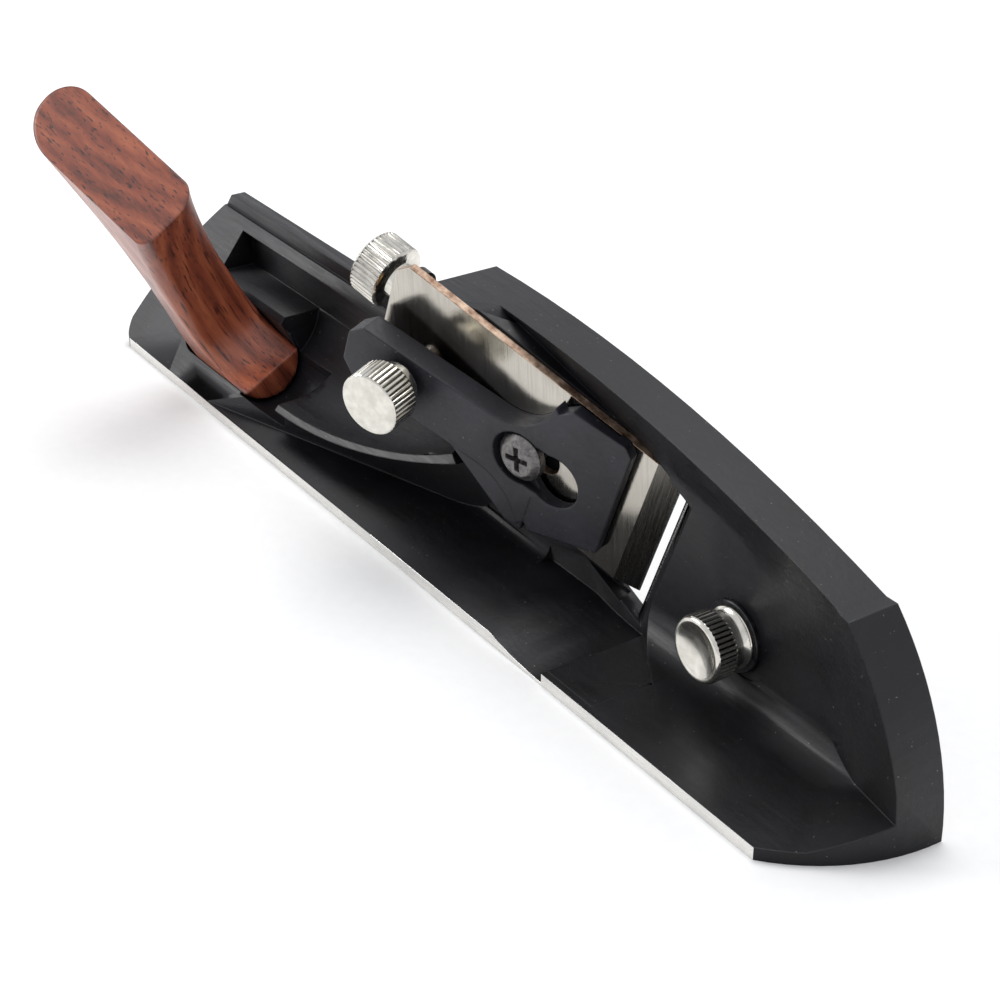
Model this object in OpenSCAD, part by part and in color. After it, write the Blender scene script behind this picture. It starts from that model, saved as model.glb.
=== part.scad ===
// A small skew shooting plane, lying on its riding side.
// Every part is drawn in the casting's own frame (X from the heel, Y up from the riding side,
// Z out of the sole) and then laid over, so that +Z points up and +Y out of the sole.

/* [Casting outline] */
// length of the casting, heel to nose
body_len = 140.5; // [110:0.5:260]
// width of the riding side, measured out of the sole
ride_w = 15.85; // [12:0.05:30]
// thickness of the riding wall
ride_t = 1.4; // [1:0.1:4]
// thickness of the sole
floor_t = 2; // [1.6:0.1:4]
// height of the sole at the heel above the riding side
heel_w = 20.9; // [16:0.1:40]
// crown of the arched back above the riding side
arch_top = 31; // [24:0.5:50]
// distance of the crown from the heel
arch_x = 67; // [50:0.5:120]
// radius of the arched back
arch_r = 205; // [150:1:400]
// radius of the heel end
heel_r = 31; // [20:0.5:60]
// radius of the nose seen on the sole
nose_r = 30; // [20:0.5:60]
// radius of the nose seen from the riding side
nose_side_r = 20.5; // [16:0.5:50]
// start of the shoulder behind the arch
ramp_x = 54.2; // [45:0.1:100]
// slope of the shoulder
ramp_ang = 35.4; // [20:0.1:60]

/* [Toe recess] */
// steepness of the band under the arch, run to rise
band_run = 1.9; // [1:0.05:4]
// width of the sloping band under the arch
band_arch = 6.4; // [4:0.1:12]
// radius of the recess floor at the nose
crease_r = 25.2; // [18:0.1:50]
// nose recess centre behind the nose
crease_back = 36.7; // [30:0.1:60]
// nose recess centre below the riding face
crease_low = 4.8; // [0:0.1:12]
// steepness of the band round the nose, run to rise
band_nose = 3.4; // [1.5:0.05:5]
// radius of the cove between the floor and the riding wall
cove_r = 4; // [2:0.1:8]
// length of the thickened lip at the nose end of the riding wall
lip_len = 9; // [5:0.1:16]
// slope of the lip towards the nose
lip_ang = 11.9; // [5:0.1:30]

/* [Heel deck] */
// slope of the deck that carries the handle
deck_ang = 37.16; // [25:0.1:50]
// width of the flat land along the left edge of the heel
land_w = 1.7; // [1:0.1:4]
// start of the pocket behind the handle
pocket_x = 13.6; // [10:0.1:30]
// lower side of the pocket behind the handle
pocket_low = 13; // [12:0.1:16]
// upper side of the pocket behind the handle
pocket_high = 17.9; // [16.5:0.1:20]
// radius of the rim of the finger hollow under the adjuster
hollow_r = 101.6; // [60:0.1:140]
// centre of the finger hollow along the casting
hollow_x = 38; // [30:0.1:80]
// lowest point of the hollow's rim above the riding face
hollow_low = 5.6; // [4:0.1:12]
// radius of the curved wall of the finger hollow
hollow_cove = 8.5; // [4:0.1:10]
// thickness of the ridge between the hollow and the trough
ridge_t = 0.7; // [0.6:0.1:2]
// distance from the heel at which the trough begins
trough_x = 25.4; // [20:0.1:60]
// slope of the trough's start
trough_ang = 17; // [12:1:60]
// radius in the bottom of the trough
trough_r = 2; // [1:0.1:3]
// length of the scoop that thins the riding wall at the mouth
scoop_len = 9.5; // [5:0.1:15]
// wall left at the deepest point of the scoop
scoop_left = 0.35; // [0.3:0.05:1]

/* [Bed and blade] */
// bed angle to the sole
bed = 16; // [12:0.5:25]
// skew of the cutting edge
skew = 22; // [10:0.5:30]
// middle of the cutting edge from the heel
edge_x = 98.62; // [80:0.1:180]
// middle of the cutting edge above the riding face
edge_y = 10.85; // [8:0.05:20]
// length of the blade
blade_len = 39.5; // [36:0.5:60]
// blade edge to the lower side, across the bed
blade_lo = 8; // [6:0.1:14]
// blade edge to the upper side, across the bed
blade_hi = 10; // [8:0.1:16]
// thickness of the blade
blade_t = 1; // [0.8:0.1:2]
// length of the ground bevel
bevel_len = 3; // [2:0.1:5]
// play of the lever cap screw in the blade's slot
blade_slot_c = 0.4; // [0.2:0.1:2]
// gap between the blade and the casting at each side
side_gap = 0.35; // [0.2:0.05:1]
// opening of the mouth in front of the edge
mouth_gap = 1.9; // [1:0.1:3]
// length of the mouth past the lower side of the blade
mouth_end = 1; // [0.4:0.1:1.5]
// length of the slope in front of the mouth, for the shavings
mouth_slope = 1.5; // [0.5:0.1:3]
// length of the bed behind the edge
block_len = 37.2; // [33:0.1:60]
// distance of the end of the depth spindle's boss from the edge
boss_end = 40.4; // [38:0.1:64]
// radius of the depth spindle's boss
boss_r = 3.3; // [3:0.1:5]

/* [Lever cap] */
// distance of the cap's front edge behind the cutting edge
cap_front = 5.4; // [4:0.1:8]
// length of the lever cap
cap_len = 35; // [28:0.1:50]
// width of the cap's head
cap_w = 19.4; // [12:0.1:24]
// length of the cap's head
cap_head = 9.4; // [6:0.1:14]
// offset of the cap's head from its neck
cap_head_off = 0.5; // [0:0.1:4]
// width of the cap's neck
cap_neck_w = 6.4; // [5:0.1:10]
// distance of the neck's lower side from the thumb screw
cap_neck_low = 4.1; // [2.5:0.1:6]
// place on the front edge where the cap is trimmed along the riding wall
cap_trim = 5.3; // [3:0.1:9]
// radius of the shoulders
cap_shoulder_r = 7; // [4:0.1:10]
// thickness of the cap at its front edge
cap_t = 1.2; // [0.8:0.1:3]
// rise of the cap's top towards the heel
cap_tilt = 6; // [3:0.5:10]
// height of the cap's neck side
cap_neck_t = 2.9; // [2:0.1:4]
// distance of the screw from the front edge of the cap
cap_screw_at = 11.7; // [9:0.1:16]
// distance between the pocket and the release hole
cap_release = 4.4; // [3.5:0.1:8]
// diameter of the release hole
release_d = 6.4; // [6:0.1:9]
// distance of the thumb screw from the front edge of the cap
cap_knob_at = 27.3; // [22:0.1:40]
// thread diameter of the cap's screws and of the toe stud
thread_d = 3; // [2:0.1:5]
// head diameter of the cap screw
screw_head_d = 5.6; // [5:0.1:8]
// head height of the cap screw
screw_head_h = 1.6; // [1.2:0.1:3]

/* [Knobs] */
// diameter of the lever cap knob
cap_knob_d = 7.2; // [6:0.1:12]
// thickness of the lever cap knob
cap_knob_h = 3.8; // [2:0.1:5]
// height of the knob's face above the cap
cap_knob_up = 5.8; // [4:0.1:9]
// diameter of the depth knob
adj_knob_d = 7.7; // [6:0.1:14]
// thickness of the depth knob
adj_knob_h = 4; // [3:0.1:8]
// distance of the depth knob's front face from the edge
adj_knob_at = 43.45; // [42:0.05:70]
// distance of the depth spindle below the bed
adj_drop = 5.43; // [5:0.05:8]
// offset of the depth spindle across the bed
adj_off = 0.6; // [-2:0.1:2]
// thread diameter of the depth spindle
adj_thread_d = 2.5; // [2:0.1:4]
// diameter of the toe knob
toe_knob_d = 7; // [6:0.1:12]
// height of the toe knob's face above the toe floor
toe_knob_up = 5; // [4:0.1:8]
// thickness of the toe knob's head
toe_knob_h = 2.7; // [2:0.1:5]
// distance of the toe knob ahead of the edge
toe_knob_at = 14.58; // [10:0.02:30]
// height of the toe knob above the riding face
toe_knob_y = 8.1; // [7:0.1:16]
// number of grooves in each knurl
knurl_n = 40; // [24:1:60]
// depth of the knurl grooves
knurl_d = 0.25; // [0.1:0.05:0.4]

/* [Toe plate] */
// thickness of the toe plate
plate_t = 1; // [0.8:0.1:1.2]
// length of the toe plate
plate_len = 19; // [17:0.5:30]
// width of the toe plate
plate_w = 15.4; // [12:0.1:24]
// travel of the toe plate forward
plate_fwd = 1.6; // [0.5:0.1:3]
// travel of the toe plate back
plate_back = 0.5; // [0.2:0.1:1]

/* [Depth adjustment] */
// travel of the blade back
blade_back = 1.2; // [0.5:0.1:2]
// travel of the blade forward
blade_fwd = 0.5; // [0.2:0.1:1]
// length of the travelling nut
nut_len = 2.8; // [2:0.1:5]
// width of the travelling nut
nut_w = 3.5; // [3:0.1:5]
// distance of the travelling nut from the edge
nut_at = 35.6; // [34:0.1:60]
// diameter of the pin that enters the blade
pin_d = 1.6; // [1:0.1:2.5]

/* [Handle] */
// thickness of the handle
grip_w = 8.9; // [7:0.1:16]
// rear end of the handle's section behind its axis
grip_rear = 11.6; // [9:0.1:24]
// front end of the handle's section ahead of its axis
grip_front = 13.6; // [10:0.1:24]
// offset of the handle's section across its axis
grip_off = -0.4; // [-2:0.1:2]
// height of the handle's middle above the deck
grip_h = 31.3; // [25:0.1:60]
// depth of the handle's axis point below the deck
grip_sink = 0.85; // [0:0.05:2]
// distance of the handle from the heel
grip_x = 24; // [20:0.1:60]
// lean of the handle away from the sole
grip_lean = 29.4; // [15:0.1:45]
// forward slope of the handle's top
top_slope = 24; // [0:0.5:35]
// sideways slope of the handle's top
top_side = 11.6; // [0:0.1:20]
// radius of the long sweep down the front of the handle
sweep_r = 45; // [30:0.5:80]
// height of the middle of that sweep above the axis point
sweep_low = -3.3; // [-10:0.1:10]
// front of the post at the sweep's middle, ahead of its axis
sweep_at = 0.8; // [0:0.1:6]
// radius of the hollow above the handle's foot
instep_r = 6.4; // [4:0.1:12]
// height of the foot's front crease below the axis point
crease_z = 1.8; // [0:0.1:4]
// front end of the handle's foot ahead of its axis
foot_x = 7.6; // [6:0.1:14]
// depth of the rounded foot below the axis point
foot_deep = 5.2; // [3:0.1:8]
// radius under the foot
foot_r = 4.6; // [4.5:0.05:9]
// lean of the handle's back
back_ang = 23; // [0:0.1:35]
// rear of the post at its foot, behind its axis
back_x = 9.5; // [6:0.1:16]
// height at which the back starts to lean
back_z = 1.9; // [0:0.1:8]
// length of the leaning back below the horn
horn_at = 22; // [12:0.5:40]
// radius of the hollow under the horn at the back
horn_r = 8; // [5:0.1:14]
// distance between the handle screws
fix_pitch = 5.2; // [4:0.1:24]
// distance of the handle screws from the top of the deck
fix_drop = 5.1; // [4:0.1:8]
// depth of the inserts inside the handle
insert_in = 2.66; // [1:0.02:4]
// length of the inserts
insert_l = 3.6; // [2:0.1:6]
// diameter of the threaded inserts
insert_d = 3.2; // [2.8:0.1:6]
// thread diameter of the handle screws
fix_d = 2; // [1.6:0.1:4]

/* [Fits] */
// radial clearance of turning parts
turn_c = 0.04; // [0.01:0.01:0.1]
// clearance of sliding parts
slide_c = 0.05; // [0.02:0.01:0.2]
// gap at the tip of the cap's thumb screw
tip_c = 0.04; // [0.02:0.01:0.1]

/* [Hidden] */
$fn = 96;
big = 300;
deck_z0 = ride_w + ride_t * tan(deck_ang);
deck_land_y = (deck_z0 - floor_t - 0.2) / tan(deck_ang);
grip_y = 8;
grip_z = deck_z0 - grip_y * tan(deck_ang) - grip_sink;
hollow_y = hollow_r + hollow_low;
arch_rim = floor_t + band_arch / band_run;
knob_face_low = floor_t + toe_knob_up;
toe_knob_x = edge_x + toe_knob_at;
neck_d = toe_knob_d - 1.8;
washer_d = toe_knob_d + 0.6;
washer_t = 0.5;
shank_r = thread_d / 2;
cap_c = 0;
tip_r = 0.7;
stud_low = (cap_t + cap_knob_at * sin(cap_tilt) - tip_c - tip_r * sin(cap_tilt)) / cos(cap_tilt);
screw_u = cap_front + cap_screw_at * cos(cap_tilt);
screw_w = blade_t + cap_t + cap_screw_at * sin(cap_tilt) + 0.35;
pocket_floor = screw_w - screw_head_h;
plate_y = edge_y - plate_w / 2 + 0.6;
deck_end = edge_x - 16.6;
adj_r = adj_thread_d / 2;
bush_r = adj_r + 1;
slot_front = nut_at - nut_len / 2 - blade_fwd - 0.2;
slot_rear = nut_at + nut_len / 2 + blade_back + 0.8;
insert_y = fix_drop / tan(deck_ang) + insert_in;
fix_z = deck_z0 - fix_drop;
fix_x = grip_x - 4;
fix_len = insert_y + insert_l - 1.1;

// lays the casting's frame over on its riding side
module on_side() translate([-body_len / 2, ride_w / 2, 0]) rotate([90, 0, 0]) children();

// frame of the bed: X towards the edge, Y across, Z square to the bed
module bed_frame() translate([edge_x, edge_y, 0]) rotate([0, 0, -skew]) rotate([0, bed, 0]) children();

// frame of the lever cap's top: origin on its front edge
module cap_frame() bed_frame() translate([-cap_front, cap_c, blade_t + cap_t])
    rotate([0, cap_tilt, 0]) children();

// frame of the depth spindle: Z along the spindle towards the edge
module spindle_frame() bed_frame() translate([0, adj_off, -adj_drop]) rotate([0, 90, 0]) children();

// frame of the handle: X along the casting, Z up the handle
module grip_frame() translate([grip_x, grip_y, grip_z]) rotate([-(90 - grip_lean), 0, 0]) children();

// frame of the toe knob, Z out of the toe floor
module toe_frame() translate([toe_knob_x, toe_knob_y, 0]) children();

module xz(y0, y1) translate([0, y1, 0]) rotate([90, 0, 0]) linear_extrude(y1 - y0) children();

module yz(x0, x1) translate([x0, 0, 0]) rotate([90, 0, 90]) linear_extrude(x1 - x0) children();

module plan() intersection() {
    union() {
        translate([heel_r, 0]) circle(r = heel_r);
        translate([heel_r, 0]) square([body_len, 80]);
    }
    union() {
        translate([body_len - nose_r, 0]) circle(r = nose_r);
        square([body_len - nose_r, 80]);
    }
    union() {
        square([body_len, heel_w]);
        intersection() {
            translate([arch_x, arch_top - arch_r]) circle(r = arch_r);
            translate([ramp_x, heel_w]) rotate(ramp_ang)
                translate([-60, -big]) square([big + 60, big]);
            translate([0, heel_w - 1]) square([body_len, 80]);
        }
    }
}

module elevation() intersection() {
    union() {
        translate([body_len - nose_side_r, 0]) circle(r = nose_side_r);
        square([body_len - nose_side_r, ride_w]);
    }
    union() {
        translate([2.5, ride_w - 2.5]) circle(r = 2.5);
        translate([2.5, 0]) square([body_len, ride_w]);
        square([body_len, ride_w - 2.5]);
    }
}

module shell() intersection() {
    linear_extrude(ride_w) plan();
    xz(-1, 80) elevation();
    children();
}

module under_bed() bed_frame() translate([-big, -big / 2, -big]) cube([2 * big, big, big]);

module under_deck() translate([-10, 0, deck_z0]) rotate([-deck_ang, 0, 0])
    translate([0, -100, -big]) cube([body_len, big, big]);

// the sloping recess of the toe
module toe_bowl() intersection() {
    translate([arch_x, arch_top - arch_r, floor_t])
        cylinder(r1 = arch_r - band_arch, r2 = arch_r - band_arch + 6 * band_run, h = 6);
    union() {
        translate([body_len - crease_back, -crease_low, floor_t])
            cylinder(r1 = crease_r, r2 = crease_r + 6 * band_nose, h = 6);
        translate([0, -10, floor_t]) cube([body_len - crease_back, 60, 6]);
    }
    translate([arch_x - 6, -50, 0]) cube([80, 130, 20]);
}

// rim, toe floor and riding wall with its cove and nose lip
module toe_solid() difference() {
    union() {
        difference() {
            translate([arch_x - 16, 0, 0]) cube([body_len, 60, floor_t + 5.99]);
            toe_bowl();
        }
        cube([body_len, ride_t, ride_w]);
        yz(edge_x + 1.4, body_len - lip_len + 3) difference() {
            square([ride_t + cove_r, floor_t + cove_r]);
            translate([ride_t + cove_r, floor_t + cove_r]) circle(r = cove_r);
        }
        // lip that runs up the nose end of the riding wall
        intersection() {
            translate([body_len - lip_len, ride_t, ride_w / 2]) rotate([lip_ang, 0, lip_ang])
                translate([-5, -9, -30]) cube([40, 9, 60]);
            translate([body_len - lip_len - 3, 0, 0]) cube([20, 8, ride_w]);
        }
    }
    // run-up of the rim behind the arch
    translate([ramp_x + 3, 0, floor_t]) rotate([0, -24, 0])
        translate([-40, -1, 0]) cube([54, 80, 30]);
    translate([0, ride_t, floor_t]) cube([ramp_x + 6, 60, 30]);
    translate([ramp_x, ride_t, arch_rim]) cube([40, 60, 30]);
}

// wedge of the heel with its pocket, finger hollow and trough
module heel_solid() difference() {
    intersection() {
        cube([deck_end, 60, ride_w]);
        under_deck();
    }
    translate([0, heel_w - land_w, floor_t]) cube([deck_end, 40, 20]);
    translate([pocket_x, pocket_low, floor_t]) cube([60, pocket_high - pocket_low, 20]);
    translate([edge_x - block_len - 4, pocket_low, floor_t]) cube([60, 40, 20]);
    // finger hollow
    intersection() {
        translate([hollow_x, hollow_y, 0]) rotate_extrude() union() {
            translate([0, floor_t]) square([hollow_r - hollow_cove, 30]);
            translate([hollow_r - hollow_cove, floor_t + hollow_cove]) circle(r = hollow_cove);
            translate([hollow_r - hollow_cove, floor_t + hollow_cove]) square([hollow_cove, 30]);
        }
        translate([grip_x + foot_x - 0.3, 0, floor_t]) cube([60, pocket_high, 30]);
    }
    trough();
    // seat of the handle's rounded foot and its run-out in front
    grip_foot(slide_c);
    grip_frame() translate([foot_x - 0.5, grip_off, foot_r - foot_deep]) rotate([0, 96, 0])
        cylinder(r = foot_r + 0.3, h = 8);
}

// trough along the riding wall, from the deck to the mouth
module trough() difference() {
    intersection() {
        yz(trough_x - 20, edge_x - 1.6) union() {
            translate([ride_t + trough_r, floor_t + trough_r]) circle(r = trough_r);
            translate([ride_t, floor_t + trough_r]) square([12, 30]);
            translate([ride_t + trough_r, floor_t]) square([10, 30]);
        }
        translate([trough_x, 0, ride_w]) rotate([0, trough_ang, 0])
            translate([-20, -1, 0]) cube([110, 40, 60]);
    }
    translate([hollow_x, hollow_y, -1]) cylinder(r = hollow_r + ridge_t, h = 40);
}

module bed_block() {
    intersection() {
        translate([edge_x, edge_y, 0]) rotate([0, 0, -skew])
            translate([-block_len * cos(bed), -blade_lo - side_gap, 0])
            cube([block_len * cos(bed), blade_lo + blade_hi + 2 * side_gap - 0.06, 20]);
        under_bed();
    }
    spindle_frame() translate([0, 0, -boss_end]) cylinder(r = boss_r, h = 12);
}

module plate_plan(grow_rear, grow_front, grow_side) {
    x0 = edge_x + mouth_gap / cos(skew);
    t = tan(skew);
    y0 = plate_y - grow_side;
    y1 = plate_y + plate_w + grow_side;
    polygon([[x0 + (y0 - edge_y) * t - grow_rear, y0],
             [x0 + (y1 - edge_y) * t - grow_rear, y1],
             [x0 + plate_len + (y1 - edge_y) * t + grow_front - 8, y1],
             [x0 + plate_len + grow_front, y0 + 7],
             [x0 + plate_len + grow_front, y0]]);
}

module countersink() {
    cylinder(r1 = fix_d, r2 = fix_d / 2, h = fix_d / 2);
    translate([0, 0, -5]) cylinder(r = fix_d, h = 5.01);
}

module fix_frame() translate([fix_x, 0, fix_z]) rotate([-90, 0, 0]) children();

module body() color("#2a2a2e") on_side() difference() {
    union() {
        shell() difference() {
            union() {
                cube([body_len, 60, floor_t]);
                toe_solid();
                heel_solid();
            }
            // seat of the blade above the bed
            bed_frame() translate([-boss_end - 6, -blade_lo - side_gap - 1, -0.01])
                cube([boss_end + 5, blade_lo + blade_hi + 2 * side_gap + 1, 12]);
        }
        shell() bed_block();
    }
    // mouth through the sole
    translate([edge_x, edge_y, -1]) rotate([0, 0, -skew]) translate([-2.6, -blade_lo - mouth_end, 0])
        cube([2.6 + mouth_gap, blade_lo + blade_hi + mouth_end - 0.05, 9]);
    translate([edge_x, edge_y, plate_t]) rotate([0, 0, -skew])
        translate([mouth_gap + 0.15, -blade_lo - mouth_end, 0])
        rotate([0, atan(mouth_slope / (floor_t - plate_t)), 0])
        translate([-8, 0, 0]) cube([8, blade_lo + blade_hi + mouth_end - 0.05, 12]);
    // scoop in the riding wall at the mouth
    intersection() {
        scoop_d = ride_t - scoop_left;
        scoop_r = (scoop_len * scoop_len + scoop_d * scoop_d) / (2 * scoop_d);
        translate([edge_x + 1.4, scoop_left + scoop_r, floor_t]) cylinder(r = scoop_r, h = 30);
        translate([edge_x - 9, 0, floor_t]) cube([10.4, 3, 30]);
    }
    // recess of the toe plate, slot of its stud and seat of its washer
    translate([0, 0, -1]) linear_extrude(plate_t + slide_c + 1)
        plate_plan(plate_back + 3, plate_fwd + 0.2, slide_c);
    toe_frame() hull() {
        translate([-plate_back - 0.1, 0, 0]) cylinder(r = shank_r + 0.15, h = 9, $fn = 32);
        translate([plate_fwd + 0.1, 0, 0]) cylinder(r = shank_r + 0.15, h = 9, $fn = 32);
    }
    for (x = [-plate_back - 0.1, plate_fwd + 0.1])
        toe_frame() translate([x, 0, floor_t]) cylinder(r = washer_d / 2 + slide_c, h = 4);
    toe_frame() translate([-plate_back - 0.1, -washer_d / 2 - slide_c, floor_t])
        cube([plate_back + plate_fwd + 0.2, washer_d / 2, 4]);
    // bore of the lever cap screw
    bed_frame() translate([-screw_u, cap_c, -3.9]) cylinder(r = shank_r + turn_c, h = 6);
    // slot of the travelling nut and bores of the depth spindle
    bed_frame() translate([-slot_rear, adj_off - nut_w / 2 - slide_c, -adj_drop - 2.1])
        cube([slot_rear - slot_front, nut_w + 2 * slide_c, 12]);
    spindle_frame() translate([0, 0, -boss_end - 1]) cylinder(r = bush_r, h = boss_end + 1 - slot_rear + 0.1);
    spindle_frame() translate([0, 0, -slot_front - 0.1]) cylinder(r = adj_r + turn_c, h = 2.2);
    // bores of the handle screws
    for (s = [-1, 1]) fix_frame() translate([s * fix_pitch / 2, 0, 0]) {
        countersink();
        cylinder(r = fix_d / 2 + turn_c, h = 16);
    }
}

module toe_plate() color("#6e6e72") on_side() difference() {
    linear_extrude(plate_t) plate_plan(0, 0, 0);
    toe_frame() translate([0, 0, 0.2]) cylinder(r = shank_r, h = 3);
}

module toe_lock_stud() color("#8d8d92") on_side() toe_frame() translate([0, 0, 0.2])
    cylinder(r = shank_r, h = knob_face_low - 1.4 - 0.2);

module toe_lock_washer() color("#242427") on_side() toe_frame() difference() {
    translate([0, 0, floor_t]) cylinder(r = washer_d / 2, h = washer_t);
    cylinder(r = shank_r + turn_c, h = 9);
}

module knurl(d, h) linear_extrude(h) difference() {
    circle(d = d);
    for (i = [0 : knurl_n - 1]) rotate(i * 360 / knurl_n) translate([d / 2, 0]) rotate(45)
        square(knurl_d * 1.414, center = true);
}

module toe_lock_knob() color("#c9c9c6") on_side() toe_frame() difference() {
    union() {
        translate([0, 0, floor_t + washer_t])
            cylinder(r = neck_d / 2, h = toe_knob_up - washer_t - toe_knob_h + 0.1);
        translate([0, 0, knob_face_low - toe_knob_h])
            cylinder(r1 = toe_knob_d / 2 - 0.3, r2 = toe_knob_d / 2, h = 0.3);
        translate([0, 0, knob_face_low - toe_knob_h + 0.3]) knurl(toe_knob_d, toe_knob_h - 0.6);
        translate([0, 0, knob_face_low - 0.3])
            cylinder(r1 = toe_knob_d / 2, r2 = toe_knob_d / 2 - 0.3, h = 0.3);
    }
    cylinder(r = shank_r + turn_c, h = knob_face_low - 1.3);
    translate([0, 0, knob_face_low + 12.6]) sphere(r = 13);
}

module blade() color("#b9b6b0") on_side() bed_frame() difference() {
    translate([-blade_len, -blade_lo, 0]) cube([blade_len, blade_lo + blade_hi, blade_t]);
    // ground bevel on the upper face
    translate([-bevel_len, -20, blade_t]) rotate([0, atan(blade_t / bevel_len), 0]) cube([10, 40, 5]);
    // slot for the lever cap screw
    hull() {
        translate([-screw_u - 1.3, cap_c, -1]) cylinder(d = thread_d + blade_slot_c, h = 4, $fn = 32);
        translate([-screw_u + 2, cap_c, -1]) cylinder(d = thread_d + blade_slot_c, h = 4, $fn = 32);
    }
    translate([-nut_at, adj_off, -1]) cylinder(d = pin_d + 0.08, h = 4);
    // rounded rear corners and ground front corner
    for (y = [-blade_lo, blade_hi])
        translate([-blade_len, y, -1]) rotate(45) cube([2.4, 2.4, 6], center = true);
    translate([-4.4 + 1.4, blade_hi + 0.45, -1]) rotate([0, 0, -17]) translate([-3, 0, 0]) cube([6, 3, 4]);
}

module cap_plan() {
    h = cap_w / 2;
    difference() {
        translate([-cap_len, -h + cap_head_off]) square([cap_len, cap_w]);
        translate([0, -cap_trim]) rotate(skew) translate([-30, -20]) square([40, 20]);
        for (s = [-1, 1]) {
            n = s < 0 ? cap_neck_low : cap_neck_w / 2;
            translate([-cap_head - cap_shoulder_r, s * (n + cap_shoulder_r)]) circle(r = cap_shoulder_r);
            translate([-cap_len - 9, s * (n + 10) - 10])
                square([cap_len + 9 - cap_head - cap_shoulder_r, 20]);
            translate([-cap_head - cap_shoulder_r - 0.1, s * (n + cap_shoulder_r + 10) - 10])
                square([cap_shoulder_r * 2 - 0.5, 20]);
            translate([-cap_len, s * n]) rotate(45) square(2.4, center = true);
            translate([0, cap_head_off + s * h]) rotate(45) square(1.4, center = true);
            translate([-cap_head + 0.5, cap_head_off + s * h]) rotate(45) square(2, center = true);
        }
    }
}

module lever_cap() color("#2b2b2e") on_side() difference() {
    cap_frame() translate([0, 0, -6]) linear_extrude(6) cap_plan();
    // underside: a lip at the front, then hollowed and rising along the neck
    bed_frame() translate([-60, -20, blade_t - 10]) cube([80, 40, 10]);
    cap_frame() translate([-cap_len - 5, -20, -cap_neck_t - 10]) cube([cap_len + 5 - 9, 40, 10]);
    bed_frame() translate([-cap_front - 10, -20, blade_t - 2]) cube([7.6, 40, 2.35]);
    // pocket round the screw, slot and release hole
    bed_frame() hull() {
        translate([-screw_u, cap_c, pocket_floor]) cylinder(d = screw_head_d + 0.3, h = 8, $fn = 32);
        translate([cap_release - screw_u, cap_c, pocket_floor])
            cylinder(d = screw_head_d + 0.3, h = 8, $fn = 32);
    }
    bed_frame() translate([-screw_u, cap_c, pocket_floor]) cylinder(d = screw_head_d + 0.9, h = 8);
    bed_frame() hull() {
        translate([-screw_u, cap_c, 0]) cylinder(d = thread_d + 0.3, h = 8, $fn = 32);
        translate([-screw_u + cap_release, cap_c, 0]) cylinder(d = thread_d + 0.3, h = 8, $fn = 32);
    }
    bed_frame() translate([-screw_u + cap_release, cap_c, 0]) cylinder(d = release_d, h = 9);
    // threaded bore of the thumb screw
    cap_frame() translate([-cap_knob_at, 0, -9]) cylinder(r = shank_r + turn_c, h = 20);
}

module lever_cap_screw() color("#3a3a3d") on_side() bed_frame() translate([-screw_u, cap_c, 0]) difference() {
    union() {
        translate([0, 0, -3.6]) cylinder(r = shank_r, h = 3.6 + pocket_floor + 0.1);
        translate([0, 0, pocket_floor]) cylinder(d = screw_head_d, h = 0.9);
        translate([0, 0, pocket_floor + 0.9])
            cylinder(d1 = screw_head_d, d2 = screw_head_d - 1.6, h = screw_head_h - 0.9);
    }
    // cross recess
    for (a = [0, 90]) rotate(a + 20) translate([-1.45, -0.3, pocket_floor + 0.55]) cube([2.9, 0.6, 4]);
}

module lever_cap_knob() color("#c9c9c6") on_side() cap_frame() translate([-cap_knob_at, 0, 0]) difference() {
    union() {
        translate([0, 0, 0.5]) cylinder(r = cap_knob_d / 2 - 1.1, h = cap_knob_up - cap_knob_h - 0.4);
        translate([0, 0, cap_knob_up - cap_knob_h])
            cylinder(r1 = cap_knob_d / 2 - 0.3, r2 = cap_knob_d / 2, h = 0.3);
        translate([0, 0, cap_knob_up - cap_knob_h + 0.3]) knurl(cap_knob_d, cap_knob_h - 0.6);
        translate([0, 0, cap_knob_up - 0.3])
            cylinder(r1 = cap_knob_d / 2, r2 = cap_knob_d / 2 - 0.3, h = 0.3);
    }
    translate([0, 0, -1]) cylinder(r = shank_r, h = cap_knob_up - 0.2);
}

module lever_cap_stud() color("#8d8d92") on_side() cap_frame() translate([-cap_knob_at, 0, 0]) {
    translate([0, 0, -stud_low]) cylinder(r1 = tip_r, r2 = shank_r, h = shank_r - tip_r);
    translate([0, 0, shank_r - tip_r - stud_low])
        cylinder(r = shank_r, h = cap_knob_up - 1.2 + stud_low - shank_r + tip_r);
}

module adjuster_knob() color("#c9c9c6") on_side() spindle_frame() difference() {
    union() {
        translate([0, 0, -adj_knob_at]) cylinder(r = bush_r - 0.1, h = adj_knob_at - boss_end - 1.3);
        translate([0, 0, -adj_knob_at - 0.3])
            cylinder(r1 = adj_knob_d / 2, r2 = adj_knob_d / 2 - 0.3, h = 0.3);
        translate([0, 0, -adj_knob_at - adj_knob_h + 0.3]) knurl(adj_knob_d, adj_knob_h - 0.6);
        translate([0, 0, -adj_knob_at - adj_knob_h])
            cylinder(r1 = adj_knob_d / 2 - 0.3, r2 = adj_knob_d / 2, h = 0.3);
    }
    translate([0, 0, -adj_knob_at - adj_knob_h + 0.8]) cylinder(r = adj_r, h = 30);
    // seat of the grub screw
    translate([0, 0, -adj_knob_at - adj_knob_h / 2]) rotate([0, 90, 0]) cylinder(r = 0.8, h = 9);
}

module adjuster_grub_screw() color("#3a3a3d") on_side() spindle_frame()
translate([adj_r + 0.02, 0, -adj_knob_at - adj_knob_h / 2]) rotate([0, 90, 0]) difference() {
    cylinder(r = 0.8, h = adj_knob_d / 2 - adj_r - 0.5);
    translate([0, 0, 1]) cylinder(d = 0.9, h = 3, $fn = 6);
}

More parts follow.
